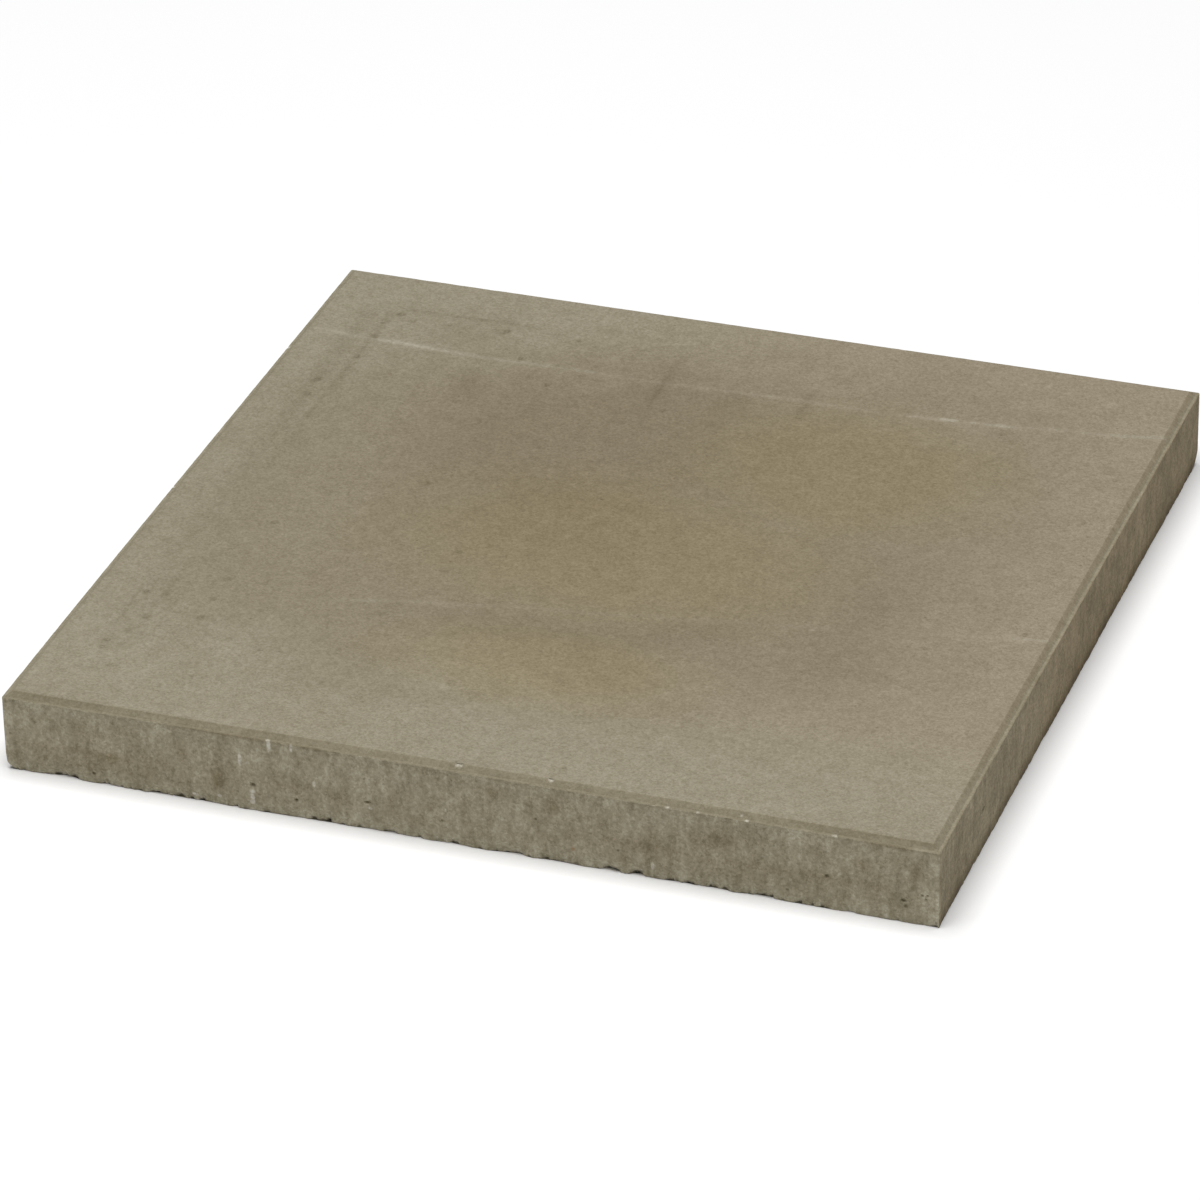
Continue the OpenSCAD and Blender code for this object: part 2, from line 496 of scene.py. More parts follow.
# broad soft patches of the front in mm: place along, height, half width, half height, darkness; the dark ones
# at a height of 34.7 are painted shadow under the arris
frontPatches = (
    (-160, 8, 28, 8, 0.25), (-165, 15, 22, 1.6, 0.4), (-152.5, 13.8, 6, 2.4, 0.7), (-136.5, 7, 2.2, 4.8, 0.5),
    (-130, 15.5, 2, 2, 0.5), (-165, 24, 2.6, 3.6, 0.3), (-156, 23, 2.6, 3, 0.45), (-147, 28, 3, 3, 0.4),
    (-120.5, 22, 2.2, 4, 0.75), (-106, 12, 2.6, 5.2, 1.2), (-74, 15, 10, 2.2, 0.45), (-53, 13, 3, 3, 0.7),
    (-30.5, 17, 2.2, 6.5, 0.5), (-21, 7, 2.6, 3, 0.35), (13, 28, 2.6, 2.6, 0.95), (39, 26, 2.6, 4.2, 0.95),
    (48, 14.5, 3, 2.4, 0.6), (61, 14.5, 3, 2.2, 0.4), (78, 15, 13, 2.4, 0.6), (68, 7, 4, 3, 0.5),
    (81, 20, 3, 3, 0.4), (98, 22, 2.6, 3.6, 0.5), (108, 23, 8.5, 3.4, 0.7), (123, 14.5, 22, 2.2, 0.35),
    (152, 14.5, 18, 1.8, 0.4), (117, 7, 10, 4, 0.25), (168, 23.5, 3, 3, 0.8), (176, 14.5, 3.6, 2.6, 0.4),
    (190, 24, 2.6, 4, 0.95), (-188, 4, 8, 3, 0.35), (-98, 34.7, 23, 0.9, 0.7), (181, 34.7, 10, 0.9, 0.8),
    (-64, 34.7, 6, 0.9, 0.8), (-40, 23.5, 7, 8, -0.4), (-72, 24, 14, 7, -0.25), (141, 31.5, 11, 3.2, -0.8),
    (-140, 30, 5, 3.6, -0.5), (-128, 32, 4, 2.6, -0.95), (194, 10, 4, 8, -1.1), (-10, 25, 12, 6, -0.2),
    (-198, 18, 2, 17, -0.6), (-178, 32.8, 16, 2.4, -0.4), (141, 33.8, 16, 1.2, -0.3),
)
# shade, dirt and spots of the sides; sizes and heights in mm
sideTone = {
    "cloudSize": 14.0,
    "cloudFlat": 0.8,
    "cloudRow": 60.0,  # from one side's cut of the noise to the next side's
    "frontCloud": 0.12,
    "frontFoot": 0.75,  # paler towards the floor: painted light against the shade of the leaning foot
    "frontFootHeights": (1.0, 9.0),
    "frontLip": 0.1,  # darker under the arris: painted shadow of the lip
    "frontLipBelow": (2.2, 1.0),
    "cloud": 0.4,
    "broad": 0.5,
    "broadSize": 22.0,
    "broadStretch": 0.7,
    "broadRow": 20.0,
    "rightGain": 1.6,
    "rightFoot": 1.7,  # darker towards the floor: painted shade where the wall meets the floor
    "rightFootHeights": (0.5, 7.5),
    "earthOfShade": 0.4,
    "rightBrownShade": 0.5,
    "rightBrownShadeBack": 0.28,
    "rightBrownShadeAlong": (-120.0, 0.0),
    "rightBrownShadeLow": 0.2,
    "rightBrownShadeHeights": (2.0, 9.0),
    "spotReach": 1.5,  # in radii
    "spotBorder": (0.45, 1.05),
    "spotRagged": 0.18,
    "spotGrain": 1.6,
    "limeGain": 1.4,
}


def sideShade(side, along, up):
    # soft dark and pale patches, those of the front where they are seen; also painted shadow under the front
    # arris, painted light at the front foot, and painted shade at the right foot
    cfg = sideTone
    row = cfg["cloudRow"] * sideNames.index(side)
    shade = wobble(along, up * cfg["cloudFlat"], row, cfg["cloudSize"])
    if side == "front":
        shade *= cfg["frontCloud"]
        for centre, height, wide, tall, darkness in frontPatches:
            shade += darkness * math.exp(-(((along - centre) / wide) ** 2) - ((up - height) / tall) ** 2)
        shade -= cfg["frontFoot"] * (1.0 - smoothStep(*cfg["frontFootHeights"], up))
        lipLow, lipHigh = (shoulder - below for below in cfg["frontLipBelow"])
        return shade + cfg["frontLip"] * smoothStep(lipLow, lipHigh, up)
    broad = wobble(along * cfg["broadStretch"], up, row + cfg["broadRow"], cfg["broadSize"])
    shade = cfg["cloud"] * shade + cfg["broad"] * broad
    if side == "right":
        foot = 1.0 - smoothStep(*cfg["rightFootHeights"], up)
        shade = cfg["rightGain"] * shade + cfg["rightFoot"] * foot
    return shade


def paintSide(side, along, up):
    # how strongly each mark colours a place on a side, and how far it stands back
    cfg = sideTone
    amounts = dict.fromkeys(markLayers, 0.0)
    dip = 0.0
    for layer, spots in sideMarks[side].items():
        gain = cfg["limeGain"] if layer == "lime" else 1.0
        for *ellipse, depth in spots:
            away = ellipseAway(ellipse, along, up)
            if away > cfg["spotReach"]:
                continue
            ragged = cfg["spotRagged"] * pattern("spots", along, up, cfg["spotGrain"], 2)
            core = 1.0 - smoothStep(*cfg["spotBorder"], away + ragged)
            amounts[layer] = max(amounts[layer], gain * core)
            dip += depth * core
    amounts["shade"] = sideShade(side, along, up)
    amounts["earth"] = max(0.0, cfg["earthOfShade"] * amounts["shade"])
    # the right side is browner and darker: partly its own colour, partly painted shade
    if side == "right":
        back = smoothStep(*cfg["rightBrownShadeAlong"], along)
        low = 1.0 - smoothStep(*cfg["rightBrownShadeHeights"], up)
        amounts["earth"] = cfg["rightBrownShade"] + cfg["rightBrownShadeBack"] * back + cfg["rightBrownShadeLow"] * low
    return amounts, dip


# chips along the moulded edge in mm: side, place along it, distance in, height, radius, depth
edgeChips = (
    ("front", 87, 0.3, 35.1, 1.3, 0.5), ("front", 100, 0.3, 35.1, 0.9, 0.35),
    ("front", 120.3, 0.3, 35.1, 1.1, 0.4), ("front", 117.6, 2.3, 36, 0.8, 0.3),
    ("front", 156.6, 0.3, 35.1, 1.2, 0.45), ("front", -1.7, 3.5, 37, 1.9, 0.5),
    ("front", 37.3, 3.4, 37, 1.5, 0.45), ("front", -83, 0.3, 35.1, 1.2, 0.3),
    ("back", -64, 0.3, 35.1, 1.3, 0.45), ("back", 48, 0.3, 35.1, 1.0, 0.4),
    ("back", 131, 0.3, 35.1, 1.4, 0.4),
    ("left", -120, 0.3, 35.1, 1.0, 0.3), ("left", 15, 0.3, 35.1, 0.9, 0.3),
)
chips = [
    (placeOn(side, along, up, inset), spread, depth)
    for side, along, inset, up, spread, depth in edgeChips
]
chipForm = {
    "reach": 1.4,  # in radii
    "border": (0.35, 1.1),
    "ragged": 0.25,
    "grain": 0.9,  # mm
    "pull": 0.7,
}


def biteChips(place, amounts):
    # pulls the edge in and down where a chip has broken off, and bares its pale inside
    cfg = chipForm
    for centre, spread, depth in chips:
        away = (place - centre).length / spread
        if away < cfg["reach"]:
            ragged = cfg["ragged"] * wobble(*place, cfg["grain"], 2)
            bite = 1.0 - smoothStep(*cfg["border"], away + ragged)
            way = inwards(place.x, place.y) - Vector((0.0, 0.0, 1.0))
            place += way * (cfg["pull"] * depth * bite)
            amounts["lime"] = max(amounts["lime"], bite)


# rubbed edges, with painted light on the left slope and shoulder, and a darker front slope, in mm; the
# darkening of the front slope is a line of (place along, 0, strength) points
edgeRubAndLight = {
    # paler shares of the shoulder and the slope: rubbing, and on the left also painted light against their
    # shade
    "shoulder": {"front": 0.0, "right": 0.7, "back": 0.5, "left": 0.9},
    "slope": {"front": 0.0, "right": 0.0, "back": 0.3, "left": 0.7},
    "shoulderSpare": (0.2, 0.05),  # what still counts as shoulder, below it and past it
    "frontRub": (183.0, 193.0),
    "rubVary": 0.4,
    "rubSize": 9.0,
    "cornerSpare": (0.5, 0.2),  # below the shoulder, and beside the round
    "cornerBorder": (-0.2, 0.7),
    "cornerSize": 7.0,
    "frontRightFrom": (2.0, 6.0),  # heights of the most rubbed stretch of that corner
    "frontRightTo": (14.0, 20.0),
    "frontRightGain": 1.2,
    "wholeDarkening": (
        (-200, 0, 0.6), (-165, 0, 0.55), (-140, 0, 0.08), (-100, 0, 0.05), (-60, 0, 0.0), (-20, 0, 0.0),
        (60, 0, 0.05), (110, 0, 0.0), (135, 0, 0.12), (165, 0, 0.55), (200, 0, 0.7),
    ),
    "borderDarkening": (
        (-200, 0, 0.35), (-165, 0, 0.4), (-140, 0, 0.42), (-100, 0, 0.35), (-60, 0, 0.15), (-20, 0, 0.0),
        (60, 0, -0.15), (110, 0, -0.1), (135, 0, 0.3), (165, 0, 0.2), (200, 0, 0.2),
    ),
    "darkeningFoot": 0.5,  # share of the darkening at the foot of the slope
    "darkeningFull": 0.2,  # below the top face
    "darkeningPower": 3,  # how close the border's darkening keeps to the border
    "darkeningFade": 0.6,
    "darkeningFadeFrom": 0.1,
}


def wornEdge(side, x, y, z, depth):
    # rubbed places: the level shoulder, and the upright corners; the left slope, and in part the left
    # shoulder, are painted paler as painted light against their shade
    cfg = edgeRubAndLight
    below, past = cfg["shoulderSpare"]
    if z > shoulder - below:
        if z > shoulder + past or depth > shoulderIn + past:
            return cfg["slope"][side]
        rubbed = smoothStep(*cfg["frontRub"], x) if side == "front" else 0.0
        return cfg["shoulder"][side] + rubbed + cfg["rubVary"] * pattern("rubbing", x, y, cfg["rubSize"])
    below, beside = cfg["cornerSpare"]
    if z > shoulder - below or min(abs(x) - turnX, abs(y) - turnY) < -beside:
        return 0.0
    rubbed = wobble(x, y, z, cfg["cornerSize"])
    if x > 0.0 > y:
        rubbed += cfg["frontRightGain"] * (
            smoothStep(*cfg["frontRightFrom"], z) * (1.0 - smoothStep(*cfg["frontRightTo"], z))
        )
    return smoothStep(*cfg["cornerBorder"], rubbed)


def slopeDarkening(along, z):
    # darker front slope: over all of it, and along its upper border
    cfg = edgeRubAndLight
    share = smoothStep(shoulder, fullZ - cfg["darkeningFull"], z)
    whole = nearLine(cfg["wholeDarkening"], along, 0.0)[1] * (cfg["darkeningFoot"] + (1.0 - cfg["darkeningFoot"]) * share)
    border = nearLine(cfg["borderDarkening"], along, 0.0)[1] * share ** cfg["darkeningPower"]
    fade = 1.0 - cfg["darkeningFade"] * smoothStep(fullZ - cfg["darkeningFadeFrom"], fullZ, z)
    return (whole + border) * fade


# the foot of each wall, in mm
footForm = {
    "leanBack": {"front": 0.9, "right": 0.2, "back": 0.6, "left": 0.4},
    "leanVary": {"front": 0.9, "right": 0.12, "back": 0.6, "left": 0.5},
    "leanSize": 14.0,
    "leanReach": 9.0,
    "brokenDeep": {"front": 2.3, "right": 0.2, "back": 1.6, "left": 1.3},
    "brokenSize": 3.0,
    "brokenOctaves": 4,
    "brokenReach": 3.0,
    "row": 40.0,  # from one side's cut of the noise to the next side's
    "brokenRow": 7.0,
    "notches": (  # place along the front, half width, depth
        (62.5, 4.4, 2.4), (74, 3.2, 1.5), (23, 4, 1.3), (-174, 7, 0.6), (-130, 3.5, 0.9), (128, 4, 1.0),
    ),
    "notchWall": (0.3, 1.0),  # in half widths
    "notchReach": 4.0,
    "soundFrom": (115.0, 170.0),  # the front is sound towards its right end
    "soundLean": 0.85,
    "soundBroken": 0.35,
    "underReach": 4.0,
    "freshBreakAndLight": 0.3,  # paler for each mm that the foot stands back: a fresh break, and painted light against the shade under it
}


def footBack(side, along, x, y, z, depth):
    # how far the foot of the wall stands back: a slow lean, with small breaks near the floor
    cfg = footForm
    row = cfg["row"] * sideNames.index(side)
    lean = max(0.0, cfg["leanBack"][side] + cfg["leanVary"][side] * wobble(x, y, row, cfg["leanSize"]))
    crumbs = wobble(x, y, row + cfg["brokenRow"], cfg["brokenSize"], cfg["brokenOctaves"])
    broken = cfg["brokenDeep"][side] * max(0.0, crumbs)
    notch = 0.0
    if side == "front":
        sound = smoothStep(*cfg["soundFrom"], along)
        lean *= 1.0 - cfg["soundLean"] * sound
        broken *= 1.0 - cfg["soundBroken"] * sound
        for centre, wide, deep in cfg["notches"]:
            notch += deep * (1.0 - smoothStep(*cfg["notchWall"], abs(along - centre) / wide))
    lean *= 1.0 - smoothStep(0.0, cfg["leanReach"], z)
    broken *= 1.0 - smoothStep(0.0, cfg["brokenReach"], z)
    notch *= 1.0 - smoothStep(0.0, cfg["notchReach"], z)
    return (lean + broken + notch) * (1.0 - smoothStep(0.0, cfg["underReach"], depth))


# lower corners that are worn round, in mm
cornerWear = {
    "frontLeft": 5.8,
    "backRight": 9.0,
    "vary": 0.6,
    "size": 4.0,
    "below": 12.0,
    "cellsIn": 1.0,  # the finer cells are centred this far inside
}


def wearCorner(place, signX, signY, wearRadius):
    # pushes a lower corner back onto the round that wear has left on its diagonal
    across = (signX * place.x - turnX + signY * place.y - turnY) / math.sqrt(2.0)
    axisAcross = radius - wearRadius
    offAcross, offUp = across - axisAcross, place.z - wearRadius
    reach = math.hypot(offAcross, offUp)
    if offAcross <= 0.0 or offUp >= 0.0 or reach <= wearRadius:
        return
    keep = wearRadius / reach
    shift = offAcross * (keep - 1.0) / math.sqrt(2.0)
    place.x += signX * shift
    place.y += signY * shift
    place.z += offUp * (keep - 1.0)


# the pressed walls, in mm
wallForm = {
    "lip": {"front": 0.26, "right": 0.08, "back": 0.12, "left": 0.05},  # the wall stands back under its arris
    "lipBelow": (1.1, 0.35),
    "streakDepth": 0.13,
    "streakSize": 3.4,
    "streakStretch": 3.0,
    "streakHigh": 0.7,  # share of the streaks above the seam
    "streakLow": 0.6,  # what comes to it below
    "lumpDepth": 0.14,
    "lumpSize": 15.0,
    "lumpFlat": 1.4,
    "lift": 0.4,  # how much of streaks and lumps lies behind the flat
    "seamHeight": 15.5,  # below this the pressed wall is rougher
    "seamVary": 1.6,
    "seamVarySize": 40.0,
    "seamSoft": 0.9,
    "seamStep": 0.16,
    "roughSize": 65.0,
    "roughBorder": (-0.3, 0.5),
    "cornerFade": (0.5, 7.0),  # the relief dies out towards the upright corners
    "cornerKeep": 0.25,
    "depths": (0.15, 0.6),  # the relief ends this far in from the outline
}


def wallRelief(side, x, y, z):
    # how far the pressed wall stands back from its flat
    cfg = wallForm
    streak = wobble(x, y, z / cfg["streakStretch"], cfg["streakSize"])
    lump = wobble(x, y, z * cfg["lumpFlat"], cfg["lumpSize"])
    seam = cfg["seamHeight"] + cfg["seamVary"] * pattern("seam", x, y, cfg["seamVarySize"])
    low = 1.0 - smoothStep(seam - cfg["seamSoft"], seam + cfg["seamSoft"], z)
    rough = smoothStep(*cfg["roughBorder"], pattern("roughness", x, y, cfg["roughSize"]))
    back = cfg["streakDepth"] * (cfg["lift"] + streak) * (cfg["streakHigh"] + cfg["streakLow"] * low)
    back += cfg["lumpDepth"] * (cfg["lift"] + lump) + cfg["seamStep"] * low * rough
    gap = max(halfX - abs(x), halfY - abs(y))
    fade = cfg["cornerKeep"] + (1.0 - cfg["cornerKeep"]) * smoothStep(*cfg["cornerFade"], gap)
    return (cfg["lip"][side] + max(0.0, back)) * fade


# sag of the top face at its front corners, in mm
sagForm = {
    "left": 0.9,
    "right": 0.4,
    "middle": 20.0,
    "deep": 150.0,
}


def topSag(x, y):
    # how far the front corners of the top face hang down
    cfg = sagForm
    out = x - cfg["middle"]
    along = cfg["right"] * (out / (halfX - cfg["middle"])) ** 2
    if out < 0.0:
        along = cfg["left"] * (out / (halfX + cfg["middle"])) ** 2
    return along * max(0.0, 1.0 - (y + halfY) / cfg["deep"]) ** 2


# hollows and dents of the underside, in mm
underForm = {
    "hollow": 0.4,
    "hollowSize": 22.0,
    "hollowBorder": (-0.1, 0.9),
    "hollowIn": (1.0, 8.0),
    "rim": 1.0,
    "dents": 36,
    "dentTurn": 2.4,  # radians from one dent to the next, so that they spread evenly
    "dentVary": 5.1,  # the same for the wave that varies their size
    "dentSpread": 188.0,
    "dentRadius": (1.6, 3.4),
    "dentDepth": (0.4, 1.0),
    "dentReach": 1.5,  # in radii
    "dentWall": (0.2, 1.1),
    "dentRagged": 0.15,
    "dentGrain": 1.8,
}


def underDents():
    # x, y, radius and depth of each dent in the underside
    cfg = underForm
    low, high = cfg["dentRadius"]
    shallow, deep = cfg["dentDepth"]
    for step in range(cfg["dents"]):
        turn, out = step * cfg["dentTurn"], cfg["dentSpread"] * math.sqrt((step + 0.5) / cfg["dents"])
        vary = 0.5 + 0.5 * math.sin(step * cfg["dentVary"])
        spread, depth = low + (high - low) * vary, shallow + (deep - shallow) * vary
        yield out * math.cos(turn), out * math.sin(turn), spread, depth


dents = list(underDents())


def underLift(x, y, depth):
    # how far the underside is hollow above the floor
    cfg = underForm
    lift = cfg["hollow"] * smoothStep(*cfg["hollowBorder"], pattern("hollows", x, y, cfg["hollowSize"]))
    lift *= smoothStep(*cfg["hollowIn"], depth)
    for dentX, dentY, spread, deep in dents:
        away = math.hypot(x - dentX, y - dentY) / spread
        if away < cfg["dentReach"]:
            ragged = cfg["dentRagged"] * pattern("dents", x, y, cfg["dentGrain"], 2)
            lift += deep * (1.0 - smoothStep(*cfg["dentWall"], away + ragged))
    return lift


# passes of finer cells, in mm: how near to a line, how near to a spot, how far up from the floor
refinePasses = ((3.0, 1.2, 1.5), (1.3, 0.5, 0.0))


def spotCentres():
    # places of the small marks in space, with their radius
    for x, y, spread, depth in topMarks["pits"]:
        yield Vector((x, y, fullZ)), spread
    for x, y, spread, depth in dents:
        yield Vector((x, y, 0.0)), spread
    for place, spread, depth in chips:
        yield place, spread
    cellsIn = cornerWear["cellsIn"]
    yield Vector((cellsIn - halfX, cellsIn - halfY, cellsIn)), cornerWear["frontLeft"]
    yield Vector((halfX - cellsIn, halfY - cellsIn, cellsIn)), cornerWear["backRight"]
    for side, layers in sideMarks.items():
        for along, up, wide, tall, depth in [spot for spots in layers.values() for spot in spots]:
            yield placeOn(side, along, up), max(wide, tall)


def refineMarks(bm):
    # smaller cells where a line or a spot has to show its own shape, and at the broken foot
    lines = topMarks["creases"] + tuple(points for half, points in topMarks["strokes"])
    spots = list(spotCentres())
    widest = max(spread for place, spread in spots)
    tree = kdtree.KDTree(len(spots))
    for index, (place, spread) in enumerate(spots):
        tree.insert(place, index)
    tree.balance()
    for lineReach, spotReach, footReach in refinePasses:
        chosen = []
        for face in bm.faces:
            centre = face.calc_center_median() / mm
            near = tree.find_range(centre, widest + spotReach)
            hit = any(away < spots[index][1] + spotReach for place, index, away in near)
            if face.material_index == sideRegion and centre.z < footReach:
                hit = hit or sideOf(centre.x, centre.y)[0] != "right"
            if face.material_index == topRegion and not hit:
                hit = any(nearLine(points, centre.x, centre.y)[0] < lineReach for points in lines)
            if hit:
                chosen.append(face)
        bmesh.ops.subdivide_edges(bm, edges=edgesOf(chosen), cuts=1, use_grid_fill=True)


refineMarks(bm)
footEdges = [edge for edge in bm.edges if all(onFoot(vert) for vert in edge.verts)]
print("cells refined round the marks", len(bm.faces), "faces")


# how the relief of the faces meets along the moulded edge, in mm
bandForm = {
    "topFrom": 0.6,  # above the shoulder
    "topFull": 0.5,  # below the top face
    "waver": 0.07,
    "waverIn": 3.0,
    "waverBelow": 0.6,
    "waverShift": 0.7,
    "waverSize": 10.0,
    "waverFine": 0.5,
    "waverFineSize": 2.8,
    "waverDrop": 0.5,
    "darkeningOut": 0.1,  # the slope's darkening reaches this far onto the shoulder
    "hair": 0.01,
}


def applyRelief(bm):
    layers = {name: bm.verts.layers.float.new(name) for name in markLayers}
    cfg = bandForm
    wallNear, wallFar = wallForm["depths"]
    lipLow, lipHigh = (shoulder - below for below in wallForm["lipBelow"])
    for vert in bm.verts:
        place = vert.co / mm
        x, y, z = place
        depth = edgeDepth(x, y)
        side, along = sideOf(x, y)
        onTop = smoothStep(shoulder + cfg["topFrom"], fullZ - cfg["topFull"], z)
        onWall = 1.0 - smoothStep(wallNear, wallFar, depth)
        amounts = dict.fromkeys(markLayers, 0.0)
        if onTop > 0.0:
            amounts, rise = paintTop(x, y)
            place.z += onTop * min(0.0, rise - topMarks["sink"])
        if onWall > 0.0 and onTop < 1.0:
            amounts, dip = paintSide(side, along, z)
            back = (1.0 - smoothStep(lipLow, lipHigh, z)) * wallRelief(side, x, y, z) + dip
            place += inwards(x, y) * max(0.0, back) * onWall
        if depth < radius + cfg["waverIn"] and z > shoulder - cfg["waverBelow"]:
            waver = cfg["waverShift"] + pattern("waver", x, y, cfg["waverSize"])
            waver += cfg["waverFine"] * wobble(x, y, z, cfg["waverFineSize"])
            waver = max(0.0, cfg["waver"] * waver)
            place += inwards(x, y) * waver
            place.z -= cfg["waverDrop"] * waver * (1.0 - onTop)
            biteChips(place, amounts)
        if depth < bandIn and z < fullZ - cfg["hair"]:
            amounts["worn"] = wornEdge(side, x, y, z, depth)
        if side == "front" and shoulderIn - cfg["darkeningOut"] < depth < bandIn:
            amounts["shade"] += slopeDarkening(along, z)
        if z < footForm["leanReach"] and depth < footForm["underReach"]:
            back = footBack(side, along, x, y, z, depth)
            place += inwards(x, y) * back
            # a paler foot: fresh break and painted light
            amounts["shade"] -= footForm["freshBreakAndLight"] * back
        if z < cornerWear["below"]:
            wear = cornerWear["vary"] * wobble(x, y, z, cornerWear["size"])
            wearCorner(place, -1, -1, cornerWear["frontLeft"] + wear)
            wearCorner(place, 1, 1, cornerWear["backRight"] + wear)
        if z < cfg["hair"] and depth > underForm["rim"]:
            place.z += underLift(x, y, depth)
        place.z -= topSag(x, y) * z / fullZ
        vert.co = place * mm
        for name, layer in layers.items():
            vert[layer] = amounts[name]


applyRelief(bm)
print("relief and marks set")

slabMesh = bpy.data.meshes.new("pavingSlab")
bmesh.ops.recalc_face_normals(bm, faces=bm.faces)
for face in bm.faces:
    face.smooth = True
for edge in footEdges:
    edge.smooth = False  # a crisp line at the foot of the slope
bm.to_mesh(slabMesh)
bm.free()
slabMesh.calc_loop_triangles()
print("paving slab", len(slabMesh.loop_triangles), "triangles")
pavingSlab = bpy.data.objects.new("pavingSlab", slabMesh)
bpy.context.scene.collection.objects.link(pavingSlab)
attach(pavingSlab, "root")
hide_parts("slab")


# node helpers
def feed(tree, socket, value):
    if isinstance(value, bpy.types.NodeSocket):
        tree.links.new(value, socket)
    else:
        socket.default_value = value


def calc(tree, operation, *values):
    node = tree.nodes.new("ShaderNodeMath")
    node.operation = operation
    for socket, value in zip(node.inputs, values):
        feed(tree, socket, value)
    return node.outputs[0]


def remap(tree, value, fromLow, fromHigh, toLow=0.0, toHigh=1.0, smooth=True):
    node = tree.nodes.new("ShaderNodeMapRange")
    node.interpolation_type = "SMOOTHSTEP" if smooth else "LINEAR"
    for name, given in (
        ("Value", value), ("From Min", fromLow), ("From Max", fromHigh), ("To Min", toLow), ("To Max", toHigh)
    ):
        feed(tree, node.inputs[name], given)
    return node.outputs["Result"]


def blendColour(tree, share, first, second, blend="MIX"):
    node = tree.nodes.new("ShaderNodeMix")
    node.data_type = "RGBA"
    node.blend_type = blend
    for index, given in ((0, share), (6, first), (7, second)):
        feed(tree, node.inputs[index], given)
    return node.outputs[2]


def stretch(tree, place, scale):
    node = tree.nodes.new("ShaderNodeMapping")
    feed(tree, node.inputs["Vector"], place)
    node.inputs["Scale"].default_value = scale
    return node.outputs["Vector"]


def noiseAt(tree, place, size, detail=2.0, rough=0.5):
    # noise with lumps of the given size in mm, about 0 to 1
    node = tree.nodes.new("ShaderNodeTexNoise")
    feed(tree, node.inputs["Vector"], place)
    feed(tree, node.inputs["Scale"], calc(tree, "DIVIDE", 1.0, size))
    node.inputs["Detail"].default_value = detail
    node.inputs["Roughness"].default_value = rough
    return node.outputs["Fac"]


def startGroup(name, inputs, outputs):
    tree = bpy.data.node_groups.new(name, "ShaderNodeTree")
    for label, kind, value in inputs:
        socket = tree.interface.new_socket(name=label, in_out="INPUT", socket_type=kind)
        if value is not None:
            socket.default_value = value
    for label, kind in outputs:
        tree.interface.new_socket(name=label, in_out="OUTPUT", socket_type=kind)
    return tree, tree.nodes.new("NodeGroupInput").outputs, tree.nodes.new("NodeGroupOutput").inputs


def useGroup(tree, group, **values):
    node = tree.nodes.new("ShaderNodeGroup")
    node.node_tree = group
    for name, value in values.items():
        feed(tree, node.inputs[name], value)
    return node.outputs


def cellsAt(tree, place, size):
    # cells of the given size in mm: distance from the middle, and two values of each cell's own
    cells = tree.nodes.new("ShaderNodeTexVoronoi")
    feed(tree, cells.inputs["Vector"], place)
    feed(tree, cells.inputs["Scale"], calc(tree, "DIVIDE", 1.0, size))
    parts = tree.nodes.new("ShaderNodeSeparateColor")
    feed(tree, parts.inputs["Color"], cells.outputs["Color"])
    return cells.outputs["Distance"], parts.outputs["Red"], parts.outputs["Green"]


# effects that the materials share
floatSocket, vectorSocket, colourSocket = "NodeSocketFloat", "NodeSocketVector", "NodeSocketColor"
grainForm = {
    "dustSize": 2.5,  # in grains
    "dustDetail": 3.0,
    "dustRough": 0.7,
    "dustShare": 2.2,
    "domeReach": 0.9,
}
mottleForm = {
    "detail": 5.0,
    "rough": 0.8,
    "swing": 2.0,
}
pinholeForm = {
    "smallest": 0.4,
    "softFrom": 0.5,
}
warmPowers = (0.9, 0.975, 1.2)  # of red, green and blue


def sandGrainGroup():
    # grains of sand in the cement skin: a tone round 1, and their height in mm
    cfg = grainForm
    tree, given, result = startGroup(
        "sandGrain",
        [("Place", vectorSocket, None), ("Size", floatSocket, 0.8), ("Contrast", floatSocket, 0.2)],
        [("Tone", floatSocket), ("Height", floatSocket)],
    )
    distance, cellTone, cellLift = cellsAt(tree, given["Place"], given["Size"])
    grainTone = calc(tree, "SUBTRACT", cellTone, 0.5)
    dustSize = calc(tree, "MULTIPLY", given["Size"], cfg["dustSize"])
    dust = noiseAt(tree, given["Place"], dustSize, cfg["dustDetail"], cfg["dustRough"])
    both = calc(tree, "MULTIPLY_ADD", calc(tree, "SUBTRACT", dust, 0.5), cfg["dustShare"], grainTone)
    feed(tree, result["Tone"], calc(tree, "MULTIPLY_ADD", both, given["Contrast"], 1.0))
    dome = remap(tree, distance, 0.0, cfg["domeReach"], 1.0, 0.0)
    lift = calc(tree, "MULTIPLY", dome, cellLift)
    feed(tree, result["Height"], calc(tree, "MULTIPLY", lift, given["Size"]))
    return tree


def mottleGroup():
    # cloudy change of tone round 1, with every size below the largest about as strong
    cfg = mottleForm
    tree, given, result = startGroup(
        "mottle",
        [("Place", vectorSocket, None), ("Size", floatSocket, 20.0), ("Contrast", floatSocket, 0.2)],
        [("Tone", floatSocket)],
    )
    cloud = noiseAt(tree, given["Place"], given["Size"], cfg["detail"], cfg["rough"])
    swing = calc(tree, "MULTIPLY", given["Contrast"], cfg["swing"])
    feed(tree, result["Tone"], calc(tree, "MULTIPLY_ADD", calc(tree, "SUBTRACT", cloud, 0.5), swing, 1.0))
    return tree


